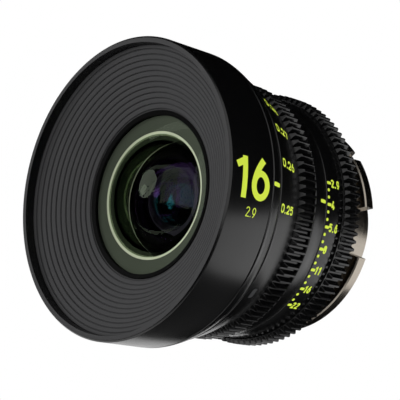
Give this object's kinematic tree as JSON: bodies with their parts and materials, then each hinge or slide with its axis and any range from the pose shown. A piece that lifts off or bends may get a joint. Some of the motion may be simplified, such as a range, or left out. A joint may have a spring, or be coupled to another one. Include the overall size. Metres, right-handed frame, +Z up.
{
  "type": "cinema prime lens",
  "caption": "Wide-angle cinema prime lens with geared focus and iris rings, a ribbed front baffle and a four-wing steel bayonet mount.",
  "frame": {"origin": "centre of the flange seat, on the optical axis, where the rear register begins", "axes": "+Y along the optical axis toward the camera, -Y toward the scene, +Z up, +X at the index marks"},
  "size_m": [0.095, 0.101, 0.095],
  "materials": {
    "black_anodised": "satin black anodised",
    "coated_glass": "polished, coated",
    "steel": "plain steel",
    "flange_steel": "turned stainless steel",
    "brass": "turned brass",
    "blade_black": "matt blackened spring steel"
  },
  "bodies": {
    "lens_body": {"front_barrel": "black_anodised", "light_baffle": "black_anodised", "front_retaining_ring": "black_anodised", "front_lens_cell": "black_anodised", "front_cell_screws": "steel", "front_element": "coated_glass", "second_element": "coated_glass", "second_retaining_ring": "black_anodised", "element_spacer": "black_anodised", "third_element": "coated_glass", "index_ring": "black_anodised", "main_tube": "black_anodised", "main_tube_screws": "steel", "focus_stop_pin": "steel", "middle_ring": "black_anodised", "iris_housing": "black_anodised", "rear_cell": "black_anodised", "rear_cell_screws": "steel", "relay_front_element": "coated_glass", "relay_back_element": "coated_glass", "relay_retaining_ring": "black_anodised", "rear_front_element": "coated_glass", "rear_spacer": "black_anodised", "rear_back_element": "coated_glass", "rear_retaining_ring": "black_anodised", "rear_barrel": "black_anodised", "rear_barrel_screws": "steel", "flange_shim": "brass", "mount_flange": "flange_steel", "mount_flange_screws": "steel"},
    "focus_ring": {"focus_scale_ring": "black_anodised", "focus_gear_ring": "black_anodised"},
    "focus_group": {"helicoid_nut": "brass", "guide_keys": "steel", "guide_key_screws": "steel", "focus_cell": "black_anodised", "focus_front_element": "coated_glass", "focus_back_element": "coated_glass", "focus_retaining_ring": "black_anodised"},
    "iris_ring": {"iris_scale_ring": "black_anodised", "iris_gear_ring": "black_anodised", "iris_drive_pins": "steel", "iris_cam_ring": "black_anodised"},
    "iris_blade_1": {"iris_blade_1": "blade_black"},
    "iris_blade_2": {"iris_blade_2": "blade_black"},
    "iris_blade_3": {"iris_blade_3": "blade_black"},
    "iris_blade_4": {"iris_blade_4": "blade_black"},
    "iris_blade_5": {"iris_blade_5": "blade_black"},
    "iris_blade_6": {"iris_blade_6": "blade_black"},
    "iris_blade_7": {"iris_blade_7": "blade_black"},
    "iris_blade_8": {"iris_blade_8": "blade_black"},
    "iris_blade_9": {"iris_blade_9": "blade_black"}
  },
  "joints": [
    {"name": "focus_turn", "type": "hinge", "parent": "lens_body", "child": "focus_ring", "pos_m": [0, 0, 0], "axis": [0, -1, 0], "range_deg": [-291.4, 8.6]},
    {"name": "focus_slide", "type": "slide", "parent": "lens_body", "child": "focus_group", "axis": [0, -1, 0], "range_m": [-0.00292, 0.00009]},
    {"name": "iris_turn", "type": "hinge", "parent": "lens_body", "child": "iris_ring", "pos_m": [0, 0, 0], "axis": [0, -1, 0], "range_deg": [-8.5, 50]},
    {"name": "iris_blade_1_turn", "type": "hinge", "parent": "lens_body", "child": "iris_blade_1", "pos_m": [0.017, -0.03129, 0], "axis": [0, -1, 0], "range_deg": [-4.15, 24.38]},
    {"name": "iris_blade_2_turn", "type": "hinge", "parent": "lens_body", "child": "iris_blade_2", "pos_m": [0.01302, -0.03087, 0.01093], "axis": [0, -1, 0], "range_deg": [-4.15, 24.38]},
    {"name": "iris_blade_3_turn", "type": "hinge", "parent": "lens_body", "child": "iris_blade_3", "pos_m": [0.00295, -0.03045, 0.01674], "axis": [0, -1, 0], "range_deg": [-4.15, 24.38]},
    {"name": "iris_blade_4_turn", "type": "hinge", "parent": "lens_body", "child": "iris_blade_4", "pos_m": [-0.0085, -0.03003, 0.01472], "axis": [0, -1, 0], "range_deg": [-4.15, 24.38]},
    {"name": "iris_blade_5_turn", "type": "hinge", "parent": "lens_body", "child": "iris_blade_5", "pos_m": [-0.01597, -0.02961, 0.00581], "axis": [0, -1, 0], "range_deg": [-4.15, 24.38]},
    {"name": "iris_blade_6_turn", "type": "hinge", "parent": "lens_body", "child": "iris_blade_6", "pos_m": [-0.01597, -0.02919, -0.00581], "axis": [0, -1, 0], "range_deg": [-4.15, 24.38]},
    {"name": "iris_blade_7_turn", "type": "hinge", "parent": "lens_body", "child": "iris_blade_7", "pos_m": [-0.0085, -0.02877, -0.01472], "axis": [0, -1, 0], "range_deg": [-4.15, 24.38]},
    {"name": "iris_blade_8_turn", "type": "hinge", "parent": "lens_body", "child": "iris_blade_8", "pos_m": [0.00295, -0.02835, -0.01674], "axis": [0, -1, 0], "range_deg": [-4.15, 24.38]},
    {"name": "iris_blade_9_turn", "type": "hinge", "parent": "lens_body", "child": "iris_blade_9", "pos_m": [0.01302, -0.02793, -0.01093], "axis": [0, -1, 0], "range_deg": [-4.15, 24.38]}
  ],
  "couplings": [
    {"joint": "focus_slide", "follows": "focus_turn", "m_per_rad": 0.00057296},
    {"joint": "iris_blade_1_turn", "follows": "iris_turn", "ratio": 0.48747},
    {"joint": "iris_blade_2_turn", "follows": "iris_turn", "ratio": 0.48747},
    {"joint": "iris_blade_3_turn", "follows": "iris_turn", "ratio": 0.48747},
    {"joint": "iris_blade_4_turn", "follows": "iris_turn", "ratio": 0.48747},
    {"joint": "iris_blade_5_turn", "follows": "iris_turn", "ratio": 0.48747},
    {"joint": "iris_blade_6_turn", "follows": "iris_turn", "ratio": 0.48747},
    {"joint": "iris_blade_7_turn", "follows": "iris_turn", "ratio": 0.48747},
    {"joint": "iris_blade_8_turn", "follows": "iris_turn", "ratio": 0.48747},
    {"joint": "iris_blade_9_turn", "follows": "iris_turn", "ratio": 0.48747}
  ]
}
